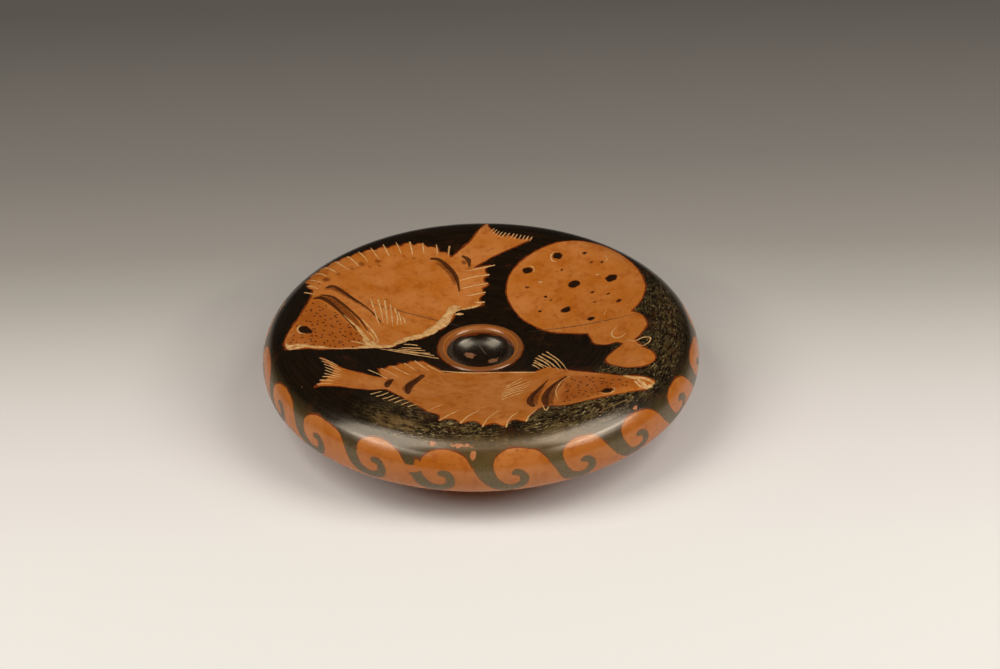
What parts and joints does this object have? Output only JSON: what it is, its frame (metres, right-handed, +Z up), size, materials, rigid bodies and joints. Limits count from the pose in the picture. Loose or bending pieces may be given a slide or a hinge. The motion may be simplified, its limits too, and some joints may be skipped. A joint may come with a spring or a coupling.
{
  "type": "fish plate",
  "caption": "Round clay serving plate with an overhanging rim, a floor sloping to a central hollow and a ring foot.",
  "frame": {"origin": "on the plate's upright axis, in the plane of the foot's resting face", "axes": "+Z up along the axis the plate was turned about; -Y is the side nearest the viewer in the picture, with the long fish; +X is to the right, with the round spotted fish"},
  "size_m": [0.22, 0.22, 0.048],
  "materials": {
    "painted_clay": "fired orange clay under a worn black gloss, with figures left in the clay colour",
    "added_white": "thin strokes of cream slip, matt"
  },
  "bodies": {
    "root": {"plate": "painted_clay"}
  },
  "joints": []
}
